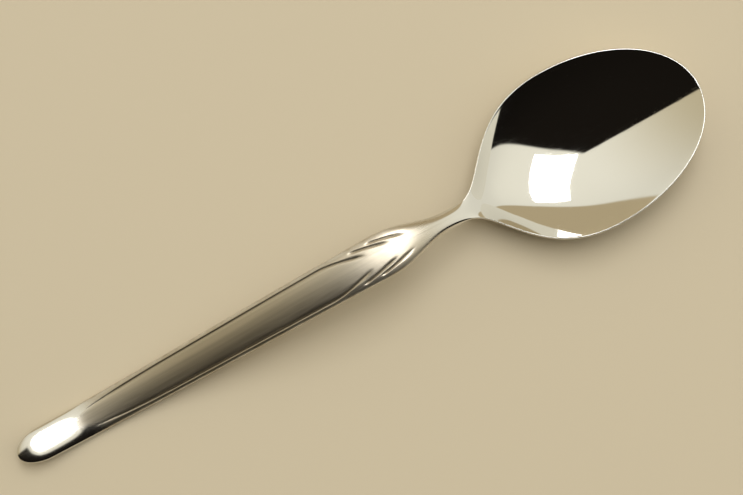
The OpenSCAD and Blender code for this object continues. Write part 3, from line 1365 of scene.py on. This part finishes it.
    def normal(self, graph: Graph, satin: bpy.types.NodeSocket, grain: bpy.types.Node,
               marks: bpy.types.NodeSocket, ripple: bpy.types.NodeSocket) -> bpy.types.NodeSocket:
        """Draws the normal: slow polish waves, satin lines and hairline scratches.

        Args:
            graph: the material's nodes.
            satin: mask of the satin.
            grain: the satin's lines and streaks.
            marks: mask of the scratches.
            ripple: the polish's slow waves.

        Returns:
            The normal's socket.
        """
        waves = graph.math("MULTIPLY", ripple, self.ripple_mm * MM)
        lines = graph.math("MULTIPLY", graph.math("MULTIPLY", grain.outputs["Grain"], satin),
                           self.grain_mm * MM)
        cuts = graph.math("MULTIPLY", marks, -self.mark_mm * MM)
        height = graph.math("ADD", graph.math("ADD", waves, lines), cuts)
        bump = graph.add("Bump")
        graph.feed(bump, Strength=1.0, Distance=1.0, Height=height)
        return bump.outputs[0]


# Studio


@dataclass(frozen=True)
class View:
    """The camera at the photograph's place: above the spoon, leaning a little.

    Attributes:
        height: height over the table, in metres.
        over: point of the table under the camera, in metres.
        focal_pixels: focal length in pixels of the picture's width.
        lean_up: degrees by which the view leans towards the picture's top.
        lean_right: degrees by which it leans towards the picture's right.
        sensor: width of the camera's sensor, in millimetres.
        clip: nearest and farthest distance that is drawn, in metres.
    """

    height: float = 0.4134
    over: tuple[float, float] = (0.0019, -0.0146)
    focal_pixels: float = 1751.3
    lean_up: float = 2.45
    lean_right: float = -0.72
    sensor: float = 36.0
    clip: tuple[float, float] = (0.01, 50.0)

    @staticmethod
    def right() -> Vector:
        """Direction of the picture's right on the table."""
        turn = math.radians(SPOON_ANGLE)
        return Vector((math.cos(turn), -math.sin(turn), 0))

    @staticmethod
    def up() -> Vector:
        """Direction of the picture's top on the table."""
        turn = math.radians(SPOON_ANGLE)
        return Vector((math.sin(turn), math.cos(turn), 0))

    def build(self) -> None:
        """Makes the camera and sets it as the scene's own."""
        data = bpy.data.cameras.new("view")
        data.sensor_fit = "HORIZONTAL"
        data.sensor_width = self.sensor
        data.lens = self.focal_pixels / IMAGE_SIZE[0] * self.sensor
        data.clip_start, data.clip_end = self.clip
        lean_up, lean_right = math.radians(self.lean_up), math.radians(self.lean_right)
        down = Vector((0, 0, -1))
        ahead = math.sin(lean_up) * self.up() + math.cos(lean_up) * down
        up = math.cos(lean_up) * self.up() - math.sin(lean_up) * down
        right = math.cos(lean_right) * self.right() - math.sin(lean_right) * ahead
        ahead = math.sin(lean_right) * self.right() + math.cos(lean_right) * ahead
        camera = bpy.data.objects.new("view", data)
        turn = Matrix((right, up, -ahead)).transposed().to_4x4()
        camera.matrix_world = Matrix.Translation((*self.over, self.height)) @ turn
        bpy.context.scene.collection.objects.link(camera)
        bpy.context.scene.camera = camera


@dataclass(frozen=True)
class Studio:
    """Pale floor, pale surroundings with one dark side, and a soft light panel near overhead.

    Attributes:
        floor_size: side of the square floor, in metres.
        floor_colour: colour of the floor.
        floor_rough: roughness of the floor.
        pale_colour: colour of the surroundings on the side of the bowl.
        dusk_colour: colour of the surroundings on the side of the handle's end.
        dusk_range: how far towards the bowl a direction points where the dusk fades and where it is gone.
        warm_colour: colour of the warm side, at the picture's top.
        warm_from: how far a direction points to the picture's top where the warm side starts.
        low_shade: how bright the surroundings are near the floor, as a share of their brightness above.
        dark_colour: colour of the dark side near the floor.
        dark_high: colour of the dark side overhead.
        dark_edges: the dark side's two edges, as the direction that each faces and where it starts.
        edge_softness: half-width of the soft edges of the warm and the dark side.
        panel_height: height of the light panel, in metres.
        panel_corners: its corners to the picture's right and top, in metres.
        panel_colour: colour of its light.
        panel_strength: brightness of its light.
    """

    floor_size: float = 12.0
    floor_colour: tuple[float, float, float] = (0.64, 0.55, 0.40)
    floor_rough: float = 0.9
    pale_colour: tuple[float, float, float] = (0.97, 0.94, 0.80)
    dusk_colour: tuple[float, float, float] = (0.62, 0.54, 0.36)
    dusk_range: tuple[float, float] = (-0.75, -0.05)
    warm_colour: tuple[float, float, float] = (0.50, 0.41, 0.25)
    warm_from: float = 0.775
    low_shade: float = 0.82
    dark_colour: tuple[float, float, float] = (0.006, 0.005, 0.004)
    dark_high: tuple[float, float, float] = (0.010, 0.008, 0.006)
    dark_edges: tuple[tuple[Vector, float], ...] = (
        (Vector((0, -1, 0)), -0.125),
        (Vector((-0.829, -0.351, -0.435)), -0.392),
    )
    edge_softness: float = 0.012
    panel_height: float = 1.5
    panel_corners: tuple[tuple[float, float], ...] = ((0.513, -0.236), (-0.109, 0.096), (-0.353, 1.486),
                                                      (0.332, 1.496))
    panel_colour: tuple[float, float, float] = (0.97, 0.985, 1.0)
    panel_strength: float = 5.8

    def build(self) -> None:
        """Makes the floor, the surroundings and the light."""
        self.floor()
        self.surroundings()
        self.light_panel()

    @staticmethod
    def sheet(name: str, corners: list[Vector], material: bpy.types.Material) -> None:
        """Makes one flat four-sided sheet that belongs to the studio.

        Args:
            name: name of the sheet.
            corners: its corners, in metres.
            material: its material.
        """
        mesh = bpy.data.meshes.new(name)
        mesh.from_pydata([tuple(c) for c in corners], [], [(0, 1, 2, 3)])
        mesh.materials.append(material)
        sheet = bpy.data.objects.new(name, mesh)
        bpy.context.scene.collection.objects.link(sheet)

    def floor(self) -> None:
        """Makes the plain floor under the spoon."""
        material, graph = new_material("floor_paper")
        shader = graph.add("BsdfPrincipled")
        graph.feed(shader, Base_Color=(*self.floor_colour, 1), Roughness=self.floor_rough)
        graph.show(shader)
        half = self.floor_size / 2
        signs = ((-1, -1), (1, -1), (1, 1), (-1, 1))
        self.sheet("floor", [Vector((x * half, y * half, 0)) for x, y in signs], material)

    def light_panel(self) -> None:
        """Makes the soft light, which lies to the picture's top of overhead."""
        material, graph = new_material("panel_light")
        light = graph.add("Emission")
        graph.feed(light, Color=(*self.panel_colour, 1), Strength=self.panel_strength)
        graph.show(light)
        height = Vector((0, 0, self.panel_height))
        corners = [View.right() * x + View.up() * y + height for x, y in self.panel_corners]
        self.sheet("light_panel", corners, material)

    def surroundings(self) -> None:
        """Makes the surroundings: pale, with a warm and a dark side."""
        world = bpy.data.worlds.new("surroundings")
        world.use_nodes = True
        bpy.context.scene.world = world
        graph = Graph(world.node_tree)
        towards = graph.add("TexCoord").outputs["Generated"]
        parts = graph.add("SeparateXYZ")
        graph.link(towards, parts.inputs[0])
        rising = graph.ramp(parts.outputs["Z"], 0.0, 1.0)
        lit = graph.blend(graph.ramp(parts.outputs["X"], *self.dusk_range), (*self.dusk_colour, 1),
                          (*self.pale_colour, 1))
        warm = self.facing(graph, towards, View.up(), self.warm_from)
        pale = graph.scale(lit, graph.ramp(parts.outputs["Z"], 0.0, 1.0, self.low_shade, 1.0))
        bright = graph.blend(warm, pale, (*self.warm_colour, 1))
        dark = graph.blend(rising, (*self.dark_colour, 1), (*self.dark_high, 1))
        shaded: object = 1.0
        for side, start in self.dark_edges:
            shaded = graph.math("MULTIPLY", self.facing(graph, towards, side, start), shaded)
        background = graph.add("Background")
        graph.feed(background, Color=graph.blend(shaded, bright, dark), Strength=1.0)
        graph.show(background, "OutputWorld")

    def facing(self, graph: Graph, towards: bpy.types.NodeSocket, side: Vector,
               start: float) -> bpy.types.NodeSocket:
        """Returns a mask of the directions that face a side.

        Args:
            graph: the nodes of the surroundings.
            towards: the direction looked in.
            side: the side faced.
            start: how far a direction must point to that side.

        Returns:
            The mask, with a narrow soft edge.
        """
        along = graph.add("VectorMath", operation="DOT_PRODUCT")
        graph.link(towards, along.inputs[0])
        along.inputs[1].default_value = side
        return graph.ramp(along.outputs["Value"], start - self.edge_softness, start + self.edge_softness)


def main() -> None:
    """Builds the view, the studio and each zone of the spoon."""
    logging.basicConfig(level=logging.INFO, format="%(name)s: %(message)s")
    bpy.context.scene.view_settings.view_transform = "Standard"
    View().build()
    Studio().build()
    effects = Effects()
    materials = {
        Slot.MIRROR: SteelFinish("polished_steel", effects).material(),
        Slot.SATIN: SteelFinish("brushed_steel", effects).material(),
    }
    blank = Blank()
    skin = Skin(blank)
    for zone in blank.zones:
        piece = zone.build(skin)
        zone.dress(piece, materials)
        LOG.info("%s: %d faces, stations %.1f to %.1f mm", piece.name, len(piece.data.polygons),
                 zone.start, zone.end)


if __name__ == "__main__":
    main()
